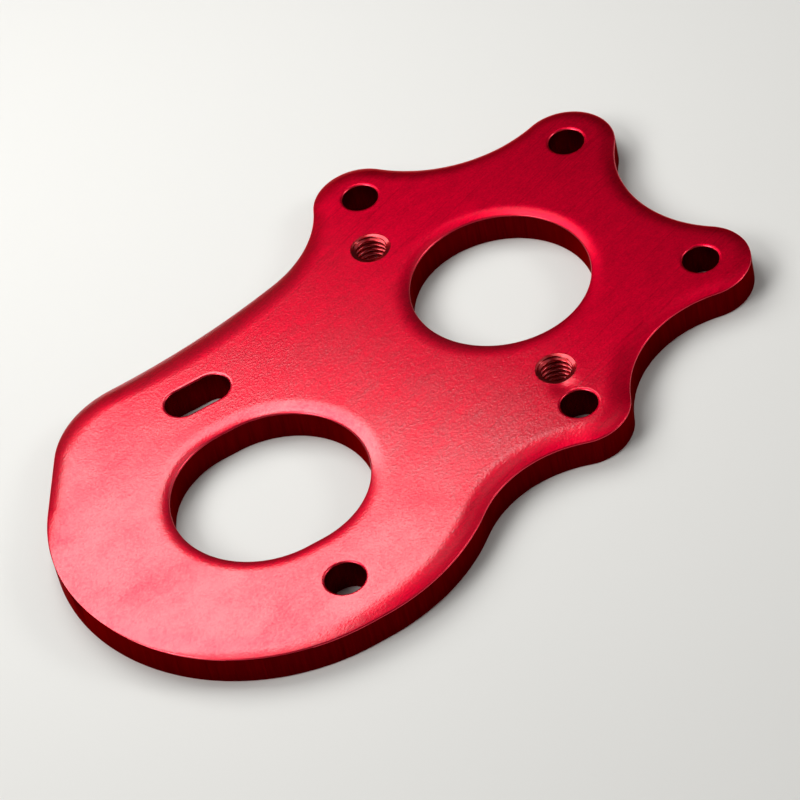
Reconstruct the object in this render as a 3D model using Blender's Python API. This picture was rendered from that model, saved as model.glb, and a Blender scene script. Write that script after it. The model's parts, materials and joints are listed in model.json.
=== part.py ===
"""Motor mount: a flat aluminium plate that carries a small electric motor beside the bore of a gearbox shaft.

The plate is punched from sheet and then tumbled. The punch draws the upper edge of the outline and of every
hole down into a wide, shallow roll that ends in a crisp corner, with a straight wall below it, and the
tumbling rounds the lower edge. The motor hangs on two screws: one in a plain hole that it swings about, the
other in a slot, so that its pinion can be set to the gear. The hole for the motor's boss is longer than it is
wide by that swing.

Sizes are in metres and angles in degrees. The outline is drawn about the shaft bore, with +X from the motor
to the bore. The plate lies on its lower face at z = 0, with the origin under the middle of its bounding box.
"""

import math

import bmesh
import bpy
from mathutils import Vector

# Sheet
SHEET_THICKNESS = 0.0030
LOWER_EDGE_ROUND = 0.00018
CHORD_ERROR = 0.000015

# Rolled upper edges
OUTLINE_ROLL_WIDTH = 0.0016
OUTLINE_ROLL_DEPTH = 0.00050
LARGE_HOLE_ROLL_WIDTH = 0.0016
LARGE_HOLE_ROLL_DEPTH = 0.00022
SMALL_HOLE_ROLL_WIDTH = 0.0006
SMALL_HOLE_ROLL_DEPTH = 0.00012
ROLL_LIMIT_SHARE = 0.80
ROLL_STEPS = 5
ROUND_STEPS = 2

# Bore end: the shaft bore, the tapped holes round it, and the lobes with their screw holes
BORE_RADIUS = 0.0075
TAP_WALL = 0.0030
THREAD_RADIUS = 0.0015
TAPPING_RADIUS = 0.00125
TAP_MOUTH_WIDTH = 0.00036
TAP_MOUTH_DEPTH = 0.00020
TAP_ANGLES = (106.5, -116.0)
LOBE_TAP_WALL = 0.0015
LOBE_HOLE_RADIUS = 0.0015
LOBE_WALL = 0.00262
LOBE_AXIS_ANGLE = -13.8
LOBE_SPREAD_ANGLES = (-101.7, -35.7, 35.7, 101.7)

# Motor end: the motor's two screws, the walls round them, and how far the motor's axis can swing
CENTRE_DISTANCE = 0.0276
SCREW_SPACING = 0.0250
SCREW_LINE_ANGLE = 72.4
SCREW_WALL = 0.00337
PIVOT_RADIUS = 0.00163
SLOT_RADIUS = 0.0015
MOTOR_SWING = 0.00134

# Hollows of the outline, with radii as shares of the circle that the lobes stand on: one beside the motor
# end, three between the lobes, and the shoulder past the last lobe, whose centre lies at an angle from it
BELLY_HOLLOW_SHARE = 0.592
LOBE_HOLLOW_SHARES = (0.609, 0.632, 0.718)
SHOULDER_HOLLOW_SHARE = 0.631
SHOULDER_HOLLOW_ANGLE = 136.9

# Upper corner of the motor end, in shares of the end's radius, and the long hollow flank, as a share of the
# centre distance
CORNER_PLACE_SHARES = (-0.118, 0.622)
CORNER_RADIUS_SHARE = 0.489
FLANK_RADIUS_SHARE = 2.775

# What follows from them
tap_circle = BORE_RADIUS + TAP_WALL + THREAD_RADIUS
lobe_circle = tap_circle + THREAD_RADIUS + LOBE_TAP_WALL + LOBE_HOLE_RADIUS
lobe_radius = LOBE_HOLE_RADIUS + LOBE_WALL
screw_circle = SCREW_SPACING / 2
motor_hole_radius = screw_circle - PIVOT_RADIUS - SCREW_WALL
end_radius = screw_circle + PIVOT_RADIUS + SCREW_WALL
outline_roll_width = min(OUTLINE_ROLL_WIDTH, ROLL_LIMIT_SHARE * (LOBE_WALL - SMALL_HOLE_ROLL_WIDTH))


def heading(degrees):
    """The unit vector at an angle from +X."""
    return Vector((math.cos(math.radians(degrees)), math.sin(math.radians(degrees))))


# Centres of the holes, about the shaft bore
bore_centre = Vector((0, 0))
motor_centre = -CENTRE_DISTANCE * heading(0)
pivot_centre = motor_centre - screw_circle * heading(SCREW_LINE_ANGLE)
slot_centre = motor_centre + screw_circle * heading(SCREW_LINE_ANGLE)
swing_heading = heading(SCREW_LINE_ANGLE + 90)
lobe_centres = [lobe_circle * heading(LOBE_AXIS_ANGLE + spread) for spread in LOBE_SPREAD_ANGLES]
tap_centres = [tap_circle * heading(angle) for angle in TAP_ANGLES]


class Arc:
    """A circle that an edge follows for part of its way: turn is 1 where it bulges out, -1 in a hollow."""

    def __init__(self, centre, radius, turn=1):
        self.centre = centre
        self.radius = radius
        self.turn = turn


def centre_by_reach(first, first_reach, second, second_reach):
    """The point at its own distance from each of two centres, on the right of the way between them."""
    across = second - first
    along = (first_reach**2 - second_reach**2 + across.length_squared) / (2 * across.length)
    aside = math.sqrt(first_reach**2 - along**2)
    way = across.normalized()
    return first + way * along + Vector((way.y, -way.x)) * aside


def hollow_between(first, second, radius):
    """The hollow of this radius that touches two bulges."""
    centre = centre_by_reach(first.centre, first.radius + radius, second.centre, second.radius + radius)
    return Arc(centre, radius, -1)


def flank_between(hollow, corner, radius):
    """The long hollow that carries on from a smaller one and touches a bulge."""
    centre = centre_by_reach(hollow.centre, radius - hollow.radius, corner.centre, corner.radius + radius)
    return Arc(centre, radius, -1)


def shared_normal(first, second):
    """The outward direction, in radians, of the straight edge that touches two arcs."""
    across = second.centre - first.centre
    lean = (first.turn * first.radius - second.turn * second.radius) / across.length
    return math.atan2(across.y, across.x) - math.acos(max(-1, min(1, lean)))


def steps_over(sweep, radius):
    """How many chords an arc needs to keep within the chord error."""
    return math.ceil(abs(sweep) / (2 * math.acos(1 - CHORD_ERROR / radius)))


def walk(arcs):
    """Points with their outward normals, anticlockwise along a run of arcs that straight edges join."""
    run = []
    for before, arc, after in zip(arcs[-1:] + arcs[:-1], arcs, arcs[1:] + arcs[:1]):
        start = shared_normal(before, arc)
        sweep = arc.turn * ((arc.turn * (shared_normal(arc, after) - start)) % math.tau)
        steps = steps_over(sweep, arc.radius)
        for step in range(steps + 1):
            angle = start + sweep * step / steps
            normal = Vector((math.cos(angle), math.sin(angle)))
            point = arc.centre + normal * (arc.turn * arc.radius)
            if not run or (point - run[-1][0]).length > CHORD_ERROR:
                run.append((point, normal))
    if (run[0][0] - run[-1][0]).length <= CHORD_ERROR:
        run.pop()
    return run


def plate_outline():
    """The plate's edge: two bulges round the motor, one lobe for each screw, and the hollows between them."""
    swing = swing_heading * (MOTOR_SWING / 2)
    far_end = Arc(motor_centre + swing, end_radius)
    near_end = Arc(motor_centre - swing, end_radius)
    corner = Arc(motor_centre + end_radius * Vector(CORNER_PLACE_SHARES), end_radius * CORNER_RADIUS_SHARE)
    lobes = [Arc(centre, lobe_radius) for centre in lobe_centres]
    arcs = [far_end, near_end, hollow_between(near_end, lobes[0], lobe_circle * BELLY_HOLLOW_SHARE)]
    for lobe, following, share in zip(lobes, lobes[1:], LOBE_HOLLOW_SHARES):
        arcs += [lobe, hollow_between(lobe, following, lobe_circle * share)]
    shoulder_radius = lobe_circle * SHOULDER_HOLLOW_SHARE
    shoulder_way = heading(SHOULDER_HOLLOW_ANGLE) * (lobe_radius + shoulder_radius)
    shoulder = Arc(lobes[-1].centre + shoulder_way, shoulder_radius, -1)
    flank = flank_between(shoulder, corner, CENTRE_DISTANCE * FLANK_RADIUS_SHARE)
    return walk(arcs + [lobes[-1], shoulder, flank, corner])


def round_hole(centre, radius):
    """Points with their outward normals round a circle."""
    steps = steps_over(math.tau, radius)
    normals = [heading(math.degrees(math.tau * step / steps)) for step in range(steps)]
    return [(centre + normal * radius, normal) for normal in normals]


def long_hole(centre, radius, travel):
    """The same round a hole that is longer than wide, along the way that the motor swings."""
    half = swing_heading * (travel / 2)
    return walk([Arc(centre + half, radius), Arc(centre - half, radius)])


def rolled_section(width, depth):
    """A punched edge, top to bottom, as how far it lies inside the wall and its height."""
    section = []
    for step in range(ROLL_STEPS + 1):
        share = 1 - step / ROLL_STEPS
        section.append((width * share, SHEET_THICKNESS - depth * (1 - share) ** 2))
    for step in range(ROUND_STEPS + 1):
        angle = math.pi / 2 * step / ROUND_STEPS
        section.append((LOWER_EDGE_ROUND * (1 - math.cos(angle)), LOWER_EDGE_ROUND * (1 - math.sin(angle))))
    return section


def tapped_section():
    """A hole at its tapping size with a cone at each mouth."""
    cone = [(TAP_MOUTH_WIDTH, 0), (0, TAP_MOUTH_DEPTH)]
    return [(inset, SHEET_THICKNESS - depth) for inset, depth in cone] + cone[::-1]


def add_ring(bm, run, inset, height):
    """A closed loop of edges that lies this far outward from a run of points."""
    verts = [bm.verts.new((*(point + normal * inset), height)) for point, normal in run]
    return [bm.edges.new(pair) for pair in zip(verts, verts[1:] + verts[:1])]


def add_wall(bm, run, section, into_material):
    """The faces of one edge of the plate. It returns the loops that bound the upper and the lower face."""
    rings = [add_ring(bm, run, into_material * inset, height) for inset, height in section]
    for upper, lower in zip(rings, rings[1:]):
        bmesh.ops.bridge_loops(bm, edges=upper + lower)
    return rings[0], rings[-1]


def make_plate():
    outline_section = rolled_section(outline_roll_width, OUTLINE_ROLL_DEPTH)
    large_section = rolled_section(LARGE_HOLE_ROLL_WIDTH, LARGE_HOLE_ROLL_DEPTH)
    small_section = rolled_section(SMALL_HOLE_ROLL_WIDTH, SMALL_HOLE_ROLL_DEPTH)
    outline = plate_outline()
    holes = [
        (round_hole(bore_centre, BORE_RADIUS), large_section),
        (long_hole(motor_centre, motor_hole_radius, MOTOR_SWING), large_section),
        (round_hole(pivot_centre, PIVOT_RADIUS), small_section),
        (long_hole(slot_centre, SLOT_RADIUS, 2 * MOTOR_SWING), small_section),
    ]
    holes += [(round_hole(centre, LOBE_HOLE_RADIUS), small_section) for centre in lobe_centres]
    holes += [(round_hole(centre, TAPPING_RADIUS), tapped_section()) for centre in tap_centres]

    bm = bmesh.new()
    bounds = [add_wall(bm, outline, outline_section, -1)]
    bounds += [add_wall(bm, run, section, 1) for run, section in holes]
    for upper_or_lower in zip(*bounds):
        bmesh.ops.triangle_fill(bm, edges=[edge for loop in upper_or_lower for edge in loop], use_beauty=True)
    bmesh.ops.recalc_face_normals(bm, faces=bm.faces)

    across = [point.x for point, _ in outline]
    along = [point.y for point, _ in outline]
    middle = Vector((min(across) + max(across), min(along) + max(along), 0)) / 2
    bmesh.ops.translate(bm, verts=bm.verts, vec=-middle)

    mesh = bpy.data.meshes.new("motor_plate")
    bm.to_mesh(mesh)
    bm.free()
    mesh.shade_smooth()
    mesh.set_sharp_from_angle(angle=math.radians(25))
    return bpy.data.objects.new("motor_plate", mesh)


def red_anodised_aluminium():
    material = bpy.data.materials.new("red_anodised_aluminium")
    material.use_nodes = True
    shader = material.node_tree.nodes["Principled BSDF"]
    shader.inputs["Base Color"].default_value = (0.62, 0.012, 0.045, 1)
    shader.inputs["Metallic"].default_value = 1
    shader.inputs["Roughness"].default_value = 0.38
    return material


for leftover in list(bpy.data.objects):
    bpy.data.objects.remove(leftover)

collection = bpy.data.collections.new("motor_mount")
bpy.context.scene.collection.children.link(collection)
plate = make_plate()
plate.data.materials.append(red_anodised_aluminium())
collection.objects.link(plate)
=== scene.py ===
"""The looks of the motor mount: a red anodised plate on a plain pale floor, under soft studio light.

Sizes are in metres and angles in degrees. The plate lies on the floor, z = 0, with +X from its motor end
to its lobed end and +Y to its long flank.
"""

import json
import math
from itertools import pairwise

import bmesh
import bpy
from mathutils import Matrix, Quaternion, Vector

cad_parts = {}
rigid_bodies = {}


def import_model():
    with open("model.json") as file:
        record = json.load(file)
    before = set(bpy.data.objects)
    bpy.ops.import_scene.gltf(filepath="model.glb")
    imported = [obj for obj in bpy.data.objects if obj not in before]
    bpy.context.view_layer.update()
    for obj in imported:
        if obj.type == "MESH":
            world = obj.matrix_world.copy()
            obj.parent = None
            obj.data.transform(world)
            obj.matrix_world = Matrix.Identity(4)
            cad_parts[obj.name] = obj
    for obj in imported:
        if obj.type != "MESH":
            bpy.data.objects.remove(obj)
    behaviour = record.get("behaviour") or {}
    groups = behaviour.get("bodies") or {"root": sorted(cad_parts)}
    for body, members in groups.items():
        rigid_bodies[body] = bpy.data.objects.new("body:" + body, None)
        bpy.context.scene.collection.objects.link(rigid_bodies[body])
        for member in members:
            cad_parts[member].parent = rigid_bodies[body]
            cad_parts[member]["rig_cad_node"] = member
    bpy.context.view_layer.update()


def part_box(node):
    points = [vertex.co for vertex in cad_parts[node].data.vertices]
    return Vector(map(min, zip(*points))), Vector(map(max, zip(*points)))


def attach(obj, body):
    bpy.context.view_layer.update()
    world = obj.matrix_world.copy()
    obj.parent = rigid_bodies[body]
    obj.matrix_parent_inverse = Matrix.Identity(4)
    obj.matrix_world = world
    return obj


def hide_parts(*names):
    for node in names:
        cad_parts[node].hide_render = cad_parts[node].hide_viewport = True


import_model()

# Nothing else that the scene starts with stays
for leftover in list(bpy.data.objects):
    if "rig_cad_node" not in leftover and not leftover.name.startswith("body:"):
        bpy.data.objects.remove(leftover)


# The plate
# One piece of 3 mm aluminium sheet. The punch draws its upper edges down into a wide roll that ends in a
# crisp corner, the tumbling barrel softens every corner, and two of its holes are tapped.
SHEET_THICKNESS = 0.0030

# The furthest that a chord lies from its arc, and the distance at which two points are one
CHORD_ERROR = 0.000002
TOUCH = 0.000001

# The holes round the bore: two tapped ones, and one plain hole in each lobe
BORE_RADIUS = 0.0075
TAP_WALL = 0.0030
THREAD_RADIUS = 0.0015
LOBE_TAP_WALL = 0.0015
LOBE_HOLE_RADIUS = 0.0015
LOBE_WALL = 0.00262
LOBE_AXIS_ANGLE = -13.8
LOBE_SPREAD_ANGLES = (-101.7, -35.7, 35.7, 101.7)
TAP_ANGLES = (106.5, -116.0)

# The motor's hole, with the hole that it swings about on one side and the slot for its other screw opposite
CENTRE_DISTANCE = 0.0276
SCREW_SPACING = 0.0250
SCREW_LINE_ANGLE = 72.4
SCREW_WALL = 0.00337
PIVOT_RADIUS = 0.00163
SLOT_RADIUS = 0.0015
MOTOR_SWING = 0.00134

# The hollows, the corner and the flank, as shares of the lobes' circle, the motor end's radius and the
# distance between the centres
BELLY_HOLLOW_SHARE = 0.592
LOBE_HOLLOW_SHARES = (0.609, 0.632, 0.718)
SHOULDER_HOLLOW_SHARE = 0.631
SHOULDER_HOLLOW_ANGLE = 136.9
CORNER_PLACE_SHARES = (-0.118, 0.622)
CORNER_RADIUS_SHARE = 0.489
FLANK_RADIUS_SHARE = 2.775

tap_circle = BORE_RADIUS + TAP_WALL + THREAD_RADIUS
lobe_circle = tap_circle + THREAD_RADIUS + LOBE_TAP_WALL + LOBE_HOLE_RADIUS
lobe_radius = LOBE_HOLE_RADIUS + LOBE_WALL
screw_circle = SCREW_SPACING / 2
motor_hole_radius = screw_circle - PIVOT_RADIUS - SCREW_WALL
end_radius = screw_circle + PIVOT_RADIUS + SCREW_WALL


def heading(degrees):
    """The unit vector at an angle from +X."""
    return Vector((math.cos(math.radians(degrees)), math.sin(math.radians(degrees))))


bore_centre = Vector((0, 0))
motor_centre = -CENTRE_DISTANCE * heading(0)
pivot_centre = motor_centre - screw_circle * heading(SCREW_LINE_ANGLE)
slot_centre = motor_centre + screw_circle * heading(SCREW_LINE_ANGLE)
swing_heading = heading(SCREW_LINE_ANGLE + 90)
lobe_centres = [lobe_circle * heading(LOBE_AXIS_ANGLE + spread) for spread in LOBE_SPREAD_ANGLES]
tap_centres = [tap_circle * heading(angle) for angle in TAP_ANGLES]


class Arc:
    """A circle that an edge follows for part of its way.

    Its turn is 1 where the edge bulges out, and -1 in a hollow.
    """

    def __init__(self, centre, radius, turn=1):
        self.centre = centre
        self.radius = radius
        self.turn = turn

    def point(self, angle):
        """The place on the arc where the edge faces this way, in radians."""
        return self.centre + Vector((math.cos(angle), math.sin(angle))) * (self.turn * self.radius)


def centre_by_reach(first, first_reach, second, second_reach):
    """The point at its own distance from each of two centres, on the right of the way between them."""
    across = second - first
    along = (first_reach**2 - second_reach**2 + across.length_squared) / (2 * across.length)
    aside = math.sqrt(first_reach**2 - along**2)
    way = across.normalized()
    return first + way * along + Vector((way.y, -way.x)) * aside


def hollow_between(first, second, radius):
    """The hollow of this radius that touches two bulges."""
    centre = centre_by_reach(first.centre, first.radius + radius, second.centre, second.radius + radius)
    return Arc(centre, radius, -1)


def shared_normal(first, second):
    """The outward direction, in radians, of the straight edge that touches two arcs."""
    across = second.centre - first.centre
    lean = (first.turn * first.radius - second.turn * second.radius) / across.length
    return math.atan2(across.y, across.x) - math.acos(max(-1, min(1, lean)))


def plate_outline():
    """The plate's edge: two bulges round the motor, one lobe for each screw, and the hollows between them."""
    swing = swing_heading * (MOTOR_SWING / 2)
    far_end = Arc(motor_centre + swing, end_radius)
    near_end = Arc(motor_centre - swing, end_radius)
    corner_centre = motor_centre + end_radius * Vector(CORNER_PLACE_SHARES)
    corner = Arc(corner_centre, end_radius * CORNER_RADIUS_SHARE)
    lobes = [Arc(centre, lobe_radius) for centre in lobe_centres]
    arcs = [far_end, near_end, hollow_between(near_end, lobes[0], lobe_circle * BELLY_HOLLOW_SHARE)]
    for lobe, following, share in zip(lobes, lobes[1:], LOBE_HOLLOW_SHARES):
        arcs += [lobe, hollow_between(lobe, following, lobe_circle * share)]
    shoulder_radius = lobe_circle * SHOULDER_HOLLOW_SHARE
    shoulder_way = heading(SHOULDER_HOLLOW_ANGLE) * (lobe_radius + shoulder_radius)
    shoulder = Arc(lobes[-1].centre + shoulder_way, shoulder_radius, -1)
    flank_radius = CENTRE_DISTANCE * FLANK_RADIUS_SHARE
    flank_centre = centre_by_reach(
        shoulder.centre, flank_radius - shoulder_radius, corner.centre, corner.radius + flank_radius
    )
    return arcs + [lobes[-1], shoulder, Arc(flank_centre, flank_radius, -1), corner]


# The punched edge: the roll, whose slope is its steepest and whose power says how late it falls away, then
# the crisp corner, the wall, which the barrel takes a little off, and the rounded lower edge
OUTLINE_ROLL_WIDTH = 0.0021
OUTLINE_ROLL_SLOPE = 0.42
OUTLINE_ROLL_POWER = 2.0
LARGE_HOLE_ROLL_WIDTH = 0.00160
SMALL_HOLE_ROLL_WIDTH = 0.00030
HOLE_ROLL_SLOPE = 0.41
HOLE_ROLL_POWER = 2.8
CORNER_ROUND = 0.00018
LOWER_EDGE_ROUND = 0.00018
WALL_POLISH = 0.00001
ROLL_STEPS = 14
CORNER_STEPS = 5

# Narrow bands beside the roll and the rounds that keep the faces level and the wall upright
LEVEL_WIDTH = 0.00005
WALL_MARGIN = 0.00004


def rolled_section(width, slope, power):
    """A punched edge, top to bottom, as how far it lies inside the wall and its height."""
    first_angle = math.pi / 2 - math.atan(slope)
    reach = width - CORNER_ROUND * (1 - math.cos(first_angle))
    depth = slope * reach / power
    section = [(width + LEVEL_WIDTH, SHEET_THICKNESS)]
    for step in range(ROLL_STEPS + 1):
        share = step / ROLL_STEPS
        section.append((width - reach * share, SHEET_THICKNESS - depth * share**power))
    top = SHEET_THICKNESS - depth - CORNER_ROUND * math.sin(first_angle)
    for step in range(1, CORNER_STEPS + 1):
        angle = first_angle * (1 - step / CORNER_STEPS)
        section.append((CORNER_ROUND * (1 - math.cos(angle)), top + CORNER_ROUND * math.sin(angle)))
    section += [(0, top - WALL_MARGIN), (0, LOWER_EDGE_ROUND + WALL_MARGIN)]
    for step in range(CORNER_STEPS + 1):
        angle = math.pi / 2 * step / CORNER_STEPS
        inset = LOWER_EDGE_ROUND * (1 - math.cos(angle))
        section.append((inset, LOWER_EDGE_ROUND * (1 - math.sin(angle))))
    section.append((LOWER_EDGE_ROUND + LEVEL_WIDTH, 0))
    return [(inset + WALL_POLISH, height) for inset, height in section]


def section_chain(bm, section, corner, into_material):
    """An edge's section as a chain of edges, standing at a point of the plate's wall."""
    verts = [bm.verts.new((*(corner + into_material * inset), height)) for inset, height in section]
    return verts + [bm.edges.new(pair) for pair in pairwise(verts)]


def carry_section(bm, section, arcs, side):
    """Carries a section round a closed run of arcs and the straights that join them.

    The material lies on the side that the edge faces, 1, or behind it, -1.
    """
    starts = [shared_normal(before, arc) for before, arc in zip(arcs[-1:] + arcs[:-1], arcs)]
    ends = starts[1:] + starts[:1]
    into_material = side * heading(math.degrees(starts[0]))
    moving = section_chain(bm, section, arcs[0].point(starts[0]), into_material)
    for arc, following, start, end in zip(arcs, arcs[1:] + arcs[:1], starts, ends):
        sweep = arc.turn * ((arc.turn * (end - start)) % math.tau)
        steps = math.ceil(abs(sweep) / (2 * math.acos(1 - CHORD_ERROR / arc.radius)))
        turned = bmesh.ops.spin(
            bm, geom=moving, cent=(*arc.centre, 0), axis=(0, 0, 1), angle=sweep, steps=steps
        )
        moving = turned["geom_last"]
        straight = following.point(end) - arc.point(end)
        if straight.length > TOUCH:
            pushed = bmesh.ops.spin(bm, geom=moving, axis=(0, 0, 1), dvec=(*straight, 0), angle=0, steps=1)
            moving = pushed["geom_last"]


def turn_section(bm, section, centre, radius, steps=None):
    """Turns a section all the way round a hole, and gives the new points."""
    before = set(bm.verts)
    side = heading(0)
    chain = section_chain(bm, section, centre + side * radius, side)
    steps = steps or math.ceil(math.tau / (2 * math.acos(1 - CHORD_ERROR / radius)))
    bmesh.ops.spin(
        bm, geom=chain, cent=(*centre, 0), axis=(0, 0, 1), angle=math.tau, steps=steps, use_merge=True
    )
    return [vert for vert in bm.verts if vert not in before]


# How the outline's roll changes round the plate: deeper towards the flank, widest at the flank's middle,
# shallower and narrower round the lobes, and gone at one place on the motor end
ROLL_LEAN_PER_METRE = 15
FLANK_ROLL_MIDDLE = -0.0195
FLANK_ROLL_HALF_LENGTH = 0.016
FLANK_ROLL_EXTRA_WIDTH = 0.0009
FLANK_ROLL_EXTRA_DEPTH_SHARE = 0.35
LOBE_ROLL_FADE_PER_METRE = 16
LOBE_ROLL_EXTRA_POWER = 1.8
LOBE_ROLL_REACH = 0.010
END_ROLL_FADE_ANGLE = 166
END_ROLL_FADE_REACH = 0.009

# How far the top of the bore's roll lies towards the motor end
BORE_ROLL_SHIFT = 0.00032


def lean_roll(verts, depth):
    """Deepens, widens, narrows and thins the outline's roll where the real one is so."""
    fade_centre = motor_centre + heading(END_ROLL_FADE_ANGLE) * end_radius
    for vert in verts:
        if vert.co.z <= SHEET_THICKNESS / 2:
            continue
        drop = max(0, SHEET_THICKNESS - vert.co.z)
        from_wall = 1 - min(1, drop / depth) ** (1 / OUTLINE_ROLL_POWER)
        along = (vert.co.x - FLANK_ROLL_MIDDLE) / FLANK_ROLL_HALF_LENGTH
        on_flank = max(0, 1 - along**2) ** 2 if vert.co.y > 0 else 0
        depth_share = 1 + ROLL_LEAN_PER_METRE * vert.co.y + FLANK_ROLL_EXTRA_DEPTH_SHARE * on_flank
        depth_share -= LOBE_ROLL_FADE_PER_METRE * max(0, vert.co.x)
        depth_share *= 1 - math.exp(-((vert.co.xy - fade_centre).length / END_ROLL_FADE_REACH) ** 2)
        extra_power = LOBE_ROLL_EXTRA_POWER * max(0, min(1, vert.co.x / LOBE_ROLL_REACH))
        depth_share *= (1 - from_wall) ** extra_power
        vert.co.y -= FLANK_ROLL_EXTRA_WIDTH * on_flank * from_wall
        vert.co.z = SHEET_THICKNESS - drop * depth_share


def shift_roll(verts):
    """Moves the bore's roll towards the motor end, more with the distance from the wall, which stays."""
    for vert in verts:
        if vert.co.z > SHEET_THICKNESS / 2:
            share = (vert.co.xy.length - BORE_RADIUS) / LARGE_HOLE_ROLL_WIDTH
            vert.co.x -= BORE_ROLL_SHIFT * max(0, min(1, share))


# The tapped holes: a hole of the thread's inner diameter, with a cone at each mouth, and the M3 thread that
# the tap cuts into it
THREAD_PITCH = 0.0005
THREAD_INNER_RADIUS = 0.00123
THREAD_CREST_SHARE = 0.30
THREAD_ROOT_SHARE = 0.10
THREAD_STEPS = 20
THREAD_TURN_STEPS = 96
MOUTH_WIDTH = 0.00042
MOUTH_DEPTH = 0.00018
MOUTH_STEPS = 6
MOUTH_LIP_ROUND = 0.00006
MOUTH_LIP_STEPS = 4


def tapped_section():
    """The hole before its thread, with levels close enough together to carry it."""
    lean = math.atan2(MOUTH_DEPTH, MOUTH_WIDTH)
    lip_reach = MOUTH_LIP_ROUND * math.tan(lean / 2)
    mouth = [(MOUTH_WIDTH + lip_reach + LEVEL_WIDTH, 0)]
    for step in range(MOUTH_LIP_STEPS + 1):
        angle = lean * step / MOUTH_LIP_STEPS
        inset = MOUTH_WIDTH + lip_reach - MOUTH_LIP_ROUND * math.sin(angle)
        mouth.append((inset, MOUTH_LIP_ROUND * (1 - math.cos(angle))))
    last_inset, last_depth = mouth[-1]
    for step in range(1, MOUTH_STEPS + 1):
        share = step / MOUTH_STEPS
        mouth.append((last_inset * (1 - share), last_depth + (MOUTH_DEPTH - last_depth) * share))
    section = [(inset, SHEET_THICKNESS - depth) for inset, depth in mouth]
    straight = SHEET_THICKNESS - 2 * MOUTH_DEPTH
    levels = round(straight / THREAD_PITCH * THREAD_STEPS)
    section += [(0, MOUTH_DEPTH + straight * (1 - level / levels)) for level in range(1, levels)]
    return section + mouth[::-1]


def thread_depth(turn, height):
    """How deep the thread is cut, at a share of a turn and a height."""
    phase = (height / THREAD_PITCH - turn) % 1
    from_crest = 1 - abs(2 * phase - 1)
    flank = (from_crest - THREAD_CREST_SHARE) / (1 - THREAD_CREST_SHARE - THREAD_ROOT_SHARE)
    return (THREAD_RADIUS - THREAD_INNER_RADIUS) * max(0, min(1, flank))


def cut_thread(verts, centre):
    """Moves a tapped hole's wall outward to its thread, where that lies behind it."""
    for vert in verts:
        arm = vert.co.xy - centre
        turn = math.atan2(arm.y, arm.x) / math.tau
        radius = max(arm.length, THREAD_INNER_RADIUS + thread_depth(turn, vert.co.z))
        vert.co.xy = centre + arm.normalized() * radius


# The dent that the drill left between the lower tapped hole and the lobe beside it
DENT_CENTRE = Vector((-0.0064, -0.0126))
DENT_DEPTH = 0.00010
DENT_REACH = 0.00060
DENT_CELL = 0.00012


def press_dent(bm):
    """Cuts the upper face small round the dent, then presses it down along a bell curve."""
    span = round(3 * DENT_REACH / DENT_CELL)
    for way in (Vector((1, 0, 0)), Vector((0, 1, 0))):
        for step in range(-span, span + 1):
            near = [
                face for face in bm.faces
                if face.calc_center_median().z > SHEET_THICKNESS * 0.99
                and any((vert.co.xy - DENT_CENTRE).length < 4 * DENT_REACH for vert in face.verts)
            ]
            edges = [edge for face in near for edge in face.edges]
            verts = [vert for face in near for vert in face.verts]
            parts = list(dict.fromkeys(near + edges + verts))
            place = Vector((*DENT_CENTRE, 0)) + way * (step * DENT_CELL)
            bmesh.ops.bisect_plane(bm, geom=parts, plane_co=place, plane_no=way, dist=TOUCH)
    for vert in bm.verts:
        if vert.co.z > SHEET_THICKNESS / 2:
            away = (vert.co.xy - DENT_CENTRE).length / DENT_REACH
            vert.co.z -= DENT_DEPTH * math.exp(-away**2 / 2)


# The finishes by their place in the plate's list of materials, after that of the flat faces; the wall's and
# the thread's carry painted shade, the corner's a painted highlight. How far a face's normal points up tells
# the corner and the wall from the rest.
WALL_FINISH_AND_SHADE = 1
THREAD_FINISH_AND_SHADE = 2
CORNER_FINISH_AND_HIGHLIGHT = 3
CORNER_LEAN = 0.80
WALL_LEAN = 0.15
ROUND_LEAN = 0.5


def mark_finishes_and_painted_light(bm):
    """Gives threads and walls their finish with painted shade, and corners theirs with a painted highlight.
    """
    for face in bm.faces:
        middle = face.calc_center_median().xy
        if any((middle - centre).length < THREAD_RADIUS + MOUTH_WIDTH / 2 for centre in tap_centres):
            face.material_index = THREAD_FINISH_AND_SHADE
        elif WALL_LEAN < face.normal.z < CORNER_LEAN:
            face.material_index = CORNER_FINISH_AND_HIGHLIGHT
        elif abs(face.normal.z) < ROUND_LEAN:
            face.material_index = WALL_FINISH_AND_SHADE


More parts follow.
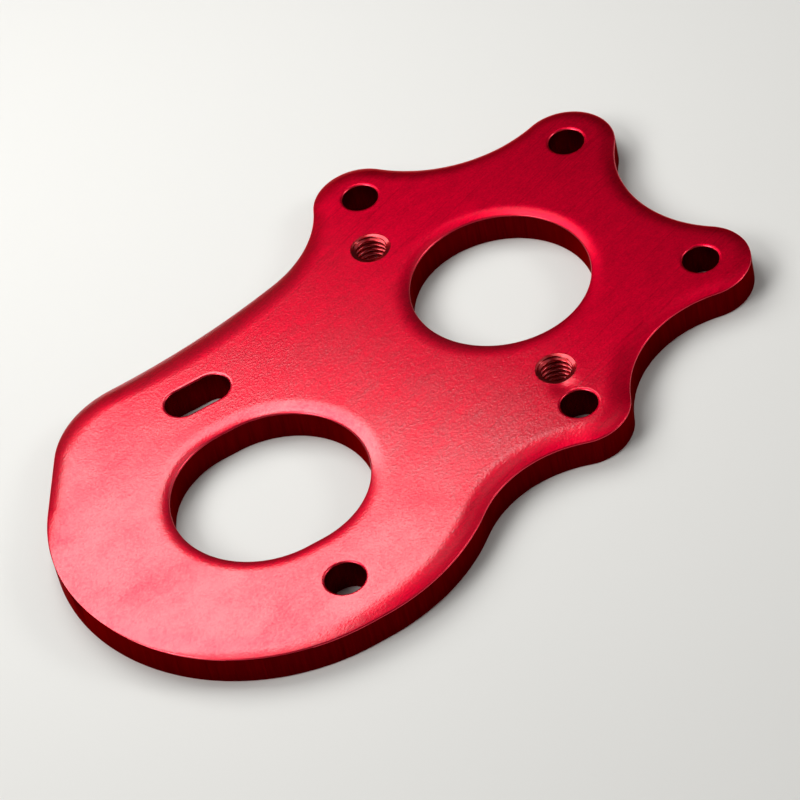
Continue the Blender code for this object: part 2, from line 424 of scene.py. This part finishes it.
def make_plate():
    """The edges first, each from its section, then the two flat faces between them, and the dent."""
    bm = bmesh.new()
    outline_section = rolled_section(OUTLINE_ROLL_WIDTH, OUTLINE_ROLL_SLOPE, OUTLINE_ROLL_POWER)
    carry_section(bm, outline_section, plate_outline(), -1)
    lean_roll(bm.verts, OUTLINE_ROLL_SLOPE * OUTLINE_ROLL_WIDTH / OUTLINE_ROLL_POWER)

    large_section = rolled_section(LARGE_HOLE_ROLL_WIDTH, HOLE_ROLL_SLOPE, HOLE_ROLL_POWER)
    small_section = rolled_section(SMALL_HOLE_ROLL_WIDTH, HOLE_ROLL_SLOPE, HOLE_ROLL_POWER)
    shift_roll(turn_section(bm, large_section, bore_centre, BORE_RADIUS))
    turn_section(bm, small_section, pivot_centre, PIVOT_RADIUS)
    for centre in lobe_centres:
        turn_section(bm, small_section, centre, LOBE_HOLE_RADIUS)
    long_holes = (
        (large_section, motor_centre, motor_hole_radius, MOTOR_SWING),
        (small_section, slot_centre, SLOT_RADIUS, 2 * MOTOR_SWING),
    )
    for section, centre, radius, travel in long_holes:
        half = swing_heading * (travel / 2)
        carry_section(bm, section, [Arc(centre + half, radius), Arc(centre - half, radius)], 1)
    for centre in tap_centres:
        wall = turn_section(bm, tapped_section(), centre, THREAD_INNER_RADIUS, THREAD_TURN_STEPS)
        cut_thread(wall, centre)

    bmesh.ops.remove_doubles(bm, verts=bm.verts, dist=TOUCH / 2)
    rims = [edge for edge in bm.edges if edge.is_boundary]
    upper = [edge for edge in rims if edge.verts[0].co.z > SHEET_THICKNESS / 2]
    lower = [edge for edge in rims if edge.verts[0].co.z < SHEET_THICKNESS / 2]
    for loops in (upper, lower):
        bmesh.ops.triangle_fill(bm, edges=loops, use_beauty=True)
    press_dent(bm)
    bmesh.ops.recalc_face_normals(bm, faces=bm.faces)
    mark_finishes_and_painted_light(bm)

    # The finished plate's box has the same middle as the solid plate's
    low = Vector([min(vert.co[axis] for vert in bm.verts) for axis in range(3)])
    high = Vector([max(vert.co[axis] for vert in bm.verts) for axis in range(3)])
    cad_low, cad_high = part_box("motor_plate")
    bmesh.ops.translate(bm, verts=bm.verts, vec=(cad_low + cad_high - low - high) / 2)
    return bm


def linear(hex_colour):
    """An sRGB hex colour as linear red, green, blue and alpha."""
    shares = [int(hex_colour[i:i + 2], 16) / 255 for i in (1, 3, 5)]
    return (*[c / 12.92 if c <= 0.04045 else ((c + 0.055) / 1.055) ** 2.4 for c in shares], 1)


def connect(tree, node, inputs):
    """Sets each input to its value, or links it to another node's output."""
    for name, value in inputs.items():
        if isinstance(value, bpy.types.NodeSocket):
            tree.links.new(value, node.inputs[name])
        else:
            node.inputs[name].default_value = value


def add(tree, kind, inputs=None, **settings):
    """A node with its own settings and its inputs."""
    node = tree.nodes.new(kind)
    for name, value in settings.items():
        setattr(node, name, value)
    connect(tree, node, inputs or {})
    return node


def weighted_sum(tree, values, shares):
    """Named values added up, each times its own share."""
    total = 0
    for name, share in shares.items():
        inputs = {0: values[name], 1: share, 2: total}
        total = add(tree, "ShaderNodeMath", inputs, operation="MULTIPLY_ADD").outputs[0]
    return total


def new_material(name):
    """A material with its node tree and its shader."""
    material = bpy.data.materials.new(name)
    material.use_nodes = True
    return material, material.node_tree, material.node_tree.nodes["Principled BSDF"]


# The dyed oxide: the red that dyed aluminium mirrors, which is purer where it is seen edge on, under the
# clear skin of aluminium oxide
EDGE_RED = "#ff0020"
OXIDE_IOR = 1.76

# The flat faces and their rolls. The dye is deeper in patches.
FACE_RED = "#ef0032"
FACE_DEEP_RED = "#b40024"
DYE_LEVEL = 0.74
DYE_SHARES = {"stain": 0.9, "grain": 0.35, "mottle": 0.4, "sand": 0.8, "scratch": 0.25}
FACE_BUMP_SHARES = {"grain": 0.11, "sand": 0.46, "peel": 0.10}
FACE_BUMP_DEPTH = 0.000022

# Each pattern's cell as its length, width and height, its turn about the upright, and the detail and the
# roughness of its noise. The rolled grain and the scratches run along the sheet. The real ones, like the
# marks of the grit, are a few hundredths of a millimetre wide, and are drawn coarse enough to show.
FACE_PATTERNS = {
    "grain": ((0.0050, 0.00020, 0.00020), -3, 1, 0.5),
    "sand": ((0.00022, 0.00016, 0.00016), 0, 1, 0.6),
    "peel": ((0.00060, 0.00035, 0.00035), 40, 0, 0.5),
    "mottle": ((0.0060, 0.0040, 0.0040), 0, 2, 0.55),
    "stain": ((0.0020, 0.0010, 0.0010), -5, 4, 0.75),
    "scratches": ((0.0200, 0.00016, 0.00016), 3, 0, 0.5),
}

# The clear oxide lies in patches. It thins along X towards the lobed end, and the barrel rubbed it off the
# roll beside the motor end. Each pair of values is where that starts and where it is full: how far the
# face's normal points up, then the place along Y, then the place along X.
OXIDE_LEVEL = 0.45
OXIDE_SHARES = {"mottle": 1.0, "stain": 0.6, "sand": 0.9}
OXIDE_THICK_END = -0.001
OXIDE_THIN_END = 0.015
OXIDE_THIN_SHARE = 0.12
RUB_LEAN_START = 0.992
RUB_LEAN_END = 0.965
RUB_SIDE_START = -0.0105
RUB_SIDE_END = -0.0125
RUB_END_START = -0.0220
RUB_END_END = -0.0150
OXIDE_RUB_SHARE = 0.85


def tumbled_anodised_aluminium():
    """Sheet aluminium, rolled, tumbled in grit and dyed red under a clear oxide.

    It gleams broadly through a fine sandy bump, and the oxide lays a whiter gleam over the red.
    """
    material, tree, shader = new_material("tumbled_anodised_aluminium")
    coordinates = add(tree, "ShaderNodeTexCoord").outputs
    values = {}
    for name, (cell, turn, detail, noise_roughness) in FACE_PATTERNS.items():
        inputs = {"Vector": coordinates["Object"], "Scale": cell, "Rotation": (0, 0, math.radians(turn))}
        place = add(tree, "ShaderNodeMapping", inputs, vector_type="TEXTURE").outputs["Vector"]
        inputs = {"Vector": place, "Scale": 1, "Detail": detail, "Roughness": noise_roughness}
        values[name] = add(tree, "ShaderNodeTexNoise", inputs).outputs["Fac"]
    inputs = {"Value": values["scratches"], "From Min": 0.66, "From Max": 0.78}
    values["scratch"] = add(tree, "ShaderNodeMapRange", inputs).outputs["Result"]

    height = weighted_sum(tree, values, FACE_BUMP_SHARES)
    bump = add(tree, "ShaderNodeBump", {"Height": height, "Distance": FACE_BUMP_DEPTH, "Strength": 1})
    inputs = {0: weighted_sum(tree, values, DYE_SHARES), 1: DYE_LEVEL}
    dye = add(tree, "ShaderNodeMath", inputs, operation="SUBTRACT", use_clamp=True).outputs[0]
    inputs = {"Factor": dye, "A": linear(FACE_RED), "B": linear(FACE_DEEP_RED)}
    red = add(tree, "ShaderNodeMix", inputs, data_type="RGBA").outputs["Result"]
    inputs = {"Value": values["mottle"], "From Min": 0.3, "From Max": 0.7, "To Min": 0.43, "To Max": 0.47}
    roughness = add(tree, "ShaderNodeMapRange", inputs).outputs["Result"]

    places = add(tree, "ShaderNodeSeparateXYZ", {"Vector": coordinates["Object"]}).outputs
    upward = add(tree, "ShaderNodeSeparateXYZ", {"Vector": coordinates["Normal"]}).outputs["Z"]
    fades = {
        "thick": (places["X"], OXIDE_THICK_END, OXIDE_THIN_END, 1, OXIDE_THIN_SHARE),
        "rolled": (upward, RUB_LEAN_START, RUB_LEAN_END, 0, 1),
        "beside": (places["Y"], RUB_SIDE_START, RUB_SIDE_END, 0, 1),
        "past": (places["X"], RUB_END_START, RUB_END_END, 0, OXIDE_RUB_SHARE),
    }
    for name, (value, start, end, before, after) in fades.items():
        inputs = {"Value": value, "From Min": start, "From Max": end, "To Min": before, "To Max": after}
        faded = add(tree, "ShaderNodeMapRange", inputs, interpolation_type="SMOOTHSTEP")
        values[name] = faded.outputs["Result"]
    inputs = {0: values["rolled"], 1: values["beside"]}
    rubbed = add(tree, "ShaderNodeMath", inputs, operation="MULTIPLY").outputs[0]
    rubbed = add(tree, "ShaderNodeMath", {0: rubbed, 1: values["past"]}, operation="MULTIPLY").outputs[0]
    left_on = add(tree, "ShaderNodeMath", {0: 1, 1: rubbed}, operation="SUBTRACT").outputs[0]
    inputs = {0: weighted_sum(tree, values, OXIDE_SHARES), 1: OXIDE_LEVEL}
    oxide = add(tree, "ShaderNodeMath", inputs, operation="SUBTRACT", use_clamp=True).outputs[0]
    oxide = add(tree, "ShaderNodeMath", {0: oxide, 1: values["thick"]}, operation="MULTIPLY").outputs[0]
    oxide = add(tree, "ShaderNodeMath", {0: oxide, 1: left_on}, operation="MULTIPLY").outputs[0]

    connect(tree, shader, {
        "Base Color": red,
        "Metallic": 1,
        "Specular Tint": linear(EDGE_RED),
        "Roughness": roughness,
        "Normal": bump.outputs["Normal"],
        "Coat Weight": oxide,
        "Coat Roughness": 0.17,
        "Coat IOR": OXIDE_IOR,
        "Coat Normal": bump.outputs["Normal"],
    })
    return material


# The wall, its red darkened as painted shade for the dark surroundings that it mirrors. Its drag lines run
# from its top to its bottom, and are drawn coarse enough to show.
SHADED_WALL_RED = "#6e000a"
SHADED_WALL_DARK_RED = "#360004"
DRAG_CELL = (0.00020, 0.00020, 0.0040)


def sheared_aluminium_in_painted_shade():
    """The sheared wall, with upright drag lines under the dye: rougher than the faces, and darker as painted
    shade.
    """
    material, tree, shader = new_material("sheared_aluminium_in_painted_shade")
    place = add(tree, "ShaderNodeTexCoord").outputs["Object"]
    inputs = {"Vector": place, "Scale": DRAG_CELL}
    place = add(tree, "ShaderNodeMapping", inputs, vector_type="TEXTURE").outputs["Vector"]
    inputs = {"Vector": place, "Scale": 1, "Detail": 2, "Roughness": 0.6}
    drag = add(tree, "ShaderNodeTexNoise", inputs).outputs["Fac"]
    bump = add(tree, "ShaderNodeBump", {"Height": drag, "Distance": 0.000010, "Strength": 1})
    inputs = {"Factor": drag, "A": linear(SHADED_WALL_RED), "B": linear(SHADED_WALL_DARK_RED)}
    red = add(tree, "ShaderNodeMix", inputs, data_type="RGBA").outputs["Result"]
    connect(tree, shader, {
        "Base Color": red,
        "Metallic": 1,
        "Specular Tint": linear(EDGE_RED),
        "Roughness": 0.50,
        "Normal": bump.outputs["Normal"],
    })
    return material


# The corners, paler than the faces: partly the wear of the stones and partly a painted highlight along the
# crisp corner. The stones' rubs are drawn coarse enough to show.
CORNER_WEAR_AND_HIGHLIGHT_RED = "#ff3850"
RUB_CELL = (0.00060, 0.00060, 0.00030)


def burnished_aluminium_and_painted_highlight():
    """The crisp corners, where the stones rubbed hardest: smoother, and paler by wear and by a painted
    highlight.
    """
    material, tree, shader = new_material("burnished_aluminium_and_painted_highlight")
    place = add(tree, "ShaderNodeTexCoord").outputs["Object"]
    inputs = {"Vector": place, "Scale": RUB_CELL}
    place = add(tree, "ShaderNodeMapping", inputs, vector_type="TEXTURE").outputs["Vector"]
    rub = add(tree, "ShaderNodeTexNoise", {"Vector": place, "Scale": 1, "Detail": 2}).outputs["Fac"]
    bump = add(tree, "ShaderNodeBump", {"Height": rub, "Distance": 0.000010, "Strength": 1})
    connect(tree, shader, {
        "Base Color": linear(CORNER_WEAR_AND_HIGHLIGHT_RED),
        "Metallic": 1,
        "Roughness": 0.36,
        "Normal": bump.outputs["Normal"],
        "Coat Weight": 0.3,
        "Coat Roughness": 0.20,
        "Coat IOR": OXIDE_IOR,
    })
    return material


# The threads, their red darkened as painted shade for the hole's dark inside. The tap's marks run round the
# hole, and are drawn coarse enough to show.
SHADED_THREAD_RED = "#b41420"
TAP_MARK_CELL = (0.00020, 0.00020, 0.00005)


def tapped_aluminium_in_painted_shade():
    """The cut thread, which the tumbling stones never reached: smoother than the faces, and darker as painted
    shade.
    """
    material, tree, shader = new_material("tapped_aluminium_in_painted_shade")
    place = add(tree, "ShaderNodeTexCoord").outputs["Object"]
    inputs = {"Vector": place, "Scale": TAP_MARK_CELL}
    place = add(tree, "ShaderNodeMapping", inputs, vector_type="TEXTURE").outputs["Vector"]
    marks = add(tree, "ShaderNodeTexNoise", {"Vector": place, "Scale": 1, "Detail": 1}).outputs["Fac"]
    bump = add(tree, "ShaderNodeBump", {"Height": marks, "Distance": 0.000004, "Strength": 1})
    connect(tree, shader, {
        "Base Color": linear(SHADED_THREAD_RED),
        "Metallic": 1,
        "Specular Tint": linear(EDGE_RED),
        "Roughness": 0.30,
        "Normal": bump.outputs["Normal"],
        "Coat Weight": 0.5,
        "Coat Roughness": 0.15,
        "Coat IOR": OXIDE_IOR,
    })
    return material


plate_mesh = bpy.data.meshes.new("motor_plate_finished")
plate_bm = make_plate()
plate_bm.to_mesh(plate_mesh)
plate_bm.free()
plate_mesh.shade_smooth()
plate_mesh.materials.append(tumbled_anodised_aluminium())
plate_mesh.materials.append(sheared_aluminium_in_painted_shade())
plate_mesh.materials.append(tapped_aluminium_in_painted_shade())
plate_mesh.materials.append(burnished_aluminium_and_painted_highlight())
plate = bpy.data.objects.new("motor_plate_finished", plate_mesh)
bpy.context.scene.collection.objects.link(plate)
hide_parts("motor_plate")
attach(plate, "root")


# The floor
# A wide board painted a warm pale grey. Far from the lamps it glows a little, to the eye and in what the
# plate mirrors only, so that it looks as pale there as it does near them and lights nothing.
FLOOR_SIZE = 3.0
FLOOR_COLOUR = "#dddcd8"
FLOOR_ROUGHNESS = 0.8
FLOOR_GLOW = 0.62
FLOOR_GLOW_START = 0.12
FLOOR_GLOW_END = 0.55


def painted_board():
    """Smooth matt paint, pale and even."""
    material, tree, shader = new_material("painted_board")
    place = add(tree, "ShaderNodeTexCoord").outputs["Object"]
    from_plate = add(tree, "ShaderNodeVectorMath", {0: place}, operation="LENGTH").outputs["Value"]
    inputs = {
        "Value": from_plate,
        "From Min": FLOOR_GLOW_START,
        "From Max": FLOOR_GLOW_END,
        "To Max": FLOOR_GLOW,
    }
    far = add(tree, "ShaderNodeMapRange", inputs, interpolation_type="SMOOTHSTEP").outputs["Result"]
    ray = add(tree, "ShaderNodeLightPath").outputs
    seen = weighted_sum(tree, ray, {"Is Camera Ray": 1, "Is Glossy Ray": 1, "Is Transmission Ray": 1})
    connect(tree, shader, {
        "Base Color": linear(FLOOR_COLOUR),
        "Roughness": FLOOR_ROUGHNESS,
        "Emission Color": linear(FLOOR_COLOUR),
        "Emission Strength": add(tree, "ShaderNodeMath", {0: far, 1: seen}, operation="MULTIPLY").outputs[0],
    })
    return material


floor_mesh = bpy.data.meshes.new("floor")
floor_bm = bmesh.new()
bmesh.ops.create_grid(floor_bm, x_segments=1, y_segments=1, size=FLOOR_SIZE / 2)
floor_bm.to_mesh(floor_mesh)
floor_bm.free()
floor_mesh.materials.append(painted_board())
floor = bpy.data.objects.new("floor", floor_mesh)
bpy.context.scene.collection.objects.link(floor)


# The light
# The main lamp hangs close to the plate, where the faces mirror it at the motor end and less towards the
# lobes. The others stand further off, and give the rolls, the walls and the floor their light.
PLATE_MIDDLE = (-0.008, -0.001, 0.003)
ROOM_LIGHT = 0.04


def add_softbox(name, azimuth, elevation, distance, size, radiance, roll=0):
    """A soft light that faces the plate, as bright across its front as the radiance says."""
    out = heading(azimuth) * math.cos(math.radians(elevation))
    way = Vector((*out, math.sin(math.radians(elevation))))
    lamp = bpy.data.lights.new(name, "AREA")
    lamp.shape = "RECTANGLE"
    lamp.size, lamp.size_y = size
    lamp.energy = math.pi * lamp.size * lamp.size_y * radiance
    holder = bpy.data.objects.new(name, lamp)
    holder.location = Vector(PLATE_MIDDLE) + way * distance
    holder.rotation_mode = "QUATERNION"
    holder.rotation_quaternion = way.to_track_quat("Z", "Y") @ Quaternion((0, 0, 1), math.radians(roll))
    holder.visible_camera = False
    bpy.context.scene.collection.objects.link(holder)


add_softbox("main_softbox", 85.4, 57.0, distance=0.132, size=(0.096, 0.112), radiance=3.9, roll=43.8)
add_softbox("side_softbox", 340, 51, distance=0.225, size=(0.17, 0.17), radiance=0.52)
add_softbox("overhead_softbox", 130, 80, distance=0.30, size=(0.15, 0.15), radiance=1.5)
add_softbox("low_softbox", 167, 45, distance=0.45, size=(0.20, 0.20), radiance=8.0)
add_softbox("front_softbox", 316, 34, distance=0.45, size=(0.12, 0.12), radiance=7.0)

world = bpy.data.worlds.new("studio")
bpy.context.scene.world = world
world.use_nodes = True
room = world.node_tree.nodes["Background"]
connect(world.node_tree, room, {"Color": (1, 1, 1, 1), "Strength": ROOM_LIGHT})


# The camera
# A long lens that looks down at the plate over its motor end and the hollow beside it, away from the long
# flank, and is rolled a little.
CAMERA_LENS = 200
CAMERA_TARGET = (0.00006, -0.00096, 0)
CAMERA_DISTANCE = 0.35985
CAMERA_HEADING = 52.45
CAMERA_ELEVATION = 44.94
CAMERA_ROLL = 13.576
CAMERA_NEAREST = 0.01

camera = bpy.data.objects.new("camera", bpy.data.cameras.new("camera"))
bpy.context.scene.collection.objects.link(camera)
camera.data.lens = CAMERA_LENS
camera.data.clip_start = CAMERA_NEAREST
turned = (
    Matrix.Rotation(math.radians(CAMERA_HEADING - 90), 3, "Z")
    @ Matrix.Rotation(math.radians(90 - CAMERA_ELEVATION), 3, "X")
    @ Matrix.Rotation(math.radians(-CAMERA_ROLL), 3, "Z")
)
camera.rotation_mode = "QUATERNION"
camera.rotation_quaternion = turned.to_quaternion()
camera.location = Vector(CAMERA_TARGET) + turned @ Vector((0, 0, CAMERA_DISTANCE))
bpy.context.scene.camera = camera
bpy.context.scene.view_settings.view_transform = "Standard"
